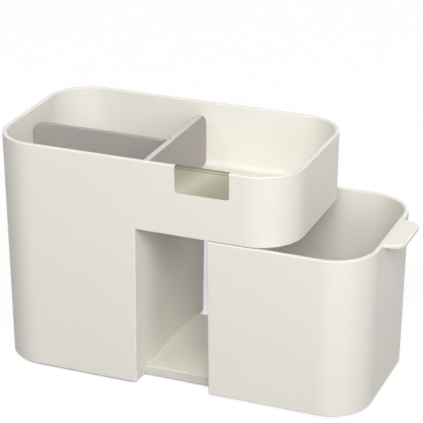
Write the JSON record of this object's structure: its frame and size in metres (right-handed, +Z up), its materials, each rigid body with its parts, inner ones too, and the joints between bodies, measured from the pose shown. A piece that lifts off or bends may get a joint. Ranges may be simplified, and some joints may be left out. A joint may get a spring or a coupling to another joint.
{
  "type": "makeup organizer with drawer",
  "caption": "Free-standing makeup organizer: a tall divided column beside a shallow tray, with a drawer that slides out from under the tray on a low runner plate.",
  "frame": {"origin": "On the table, under the middle of the whole organizer's box with the drawer pulled out as at rest.", "axes": "+X from the column towards the drawer's pull tab, +Y from front to back, +Z up."},
  "size_m": [0.2269, 0.101, 0.135],
  "materials": {
    "ivory_plastic": "fine matte moulded",
    "grey_plastic": "fine matte moulded",
    "champagne_metal": "brushed",
    "screw_steel": "plain",
    "foot_rubber": "matte"
  },
  "bodies": {
    "body": {"body_shell": "ivory_plastic", "base_plate": "ivory_plastic", "base_screws": "screw_steel", "badge_plate": "champagne_metal", "foot_front_left": "foot_rubber", "foot_front_right": "foot_rubber", "foot_back_left": "foot_rubber", "foot_back_right": "foot_rubber"},
    "drawer": {"drawer": "ivory_plastic"},
    "cross_divider": {"cross_divider": "grey_plastic"},
    "low_divider": {"low_divider": "grey_plastic"}
  },
  "joints": [
    {"name": "drawer_slide", "type": "slide", "parent": "body", "child": "drawer", "axis": [1, 0, 0], "range_m": [-0.0411, 0.0282]},
    {"name": "cross_divider_lift", "type": "slide", "parent": "body", "child": "cross_divider", "axis": [0, 0, 1], "range_m": [0, 0.0635]},
    {"name": "low_divider_lift", "type": "slide", "parent": "body", "child": "low_divider", "axis": [0, 0, 1], "range_m": [0, 0.1257]}
  ]
}
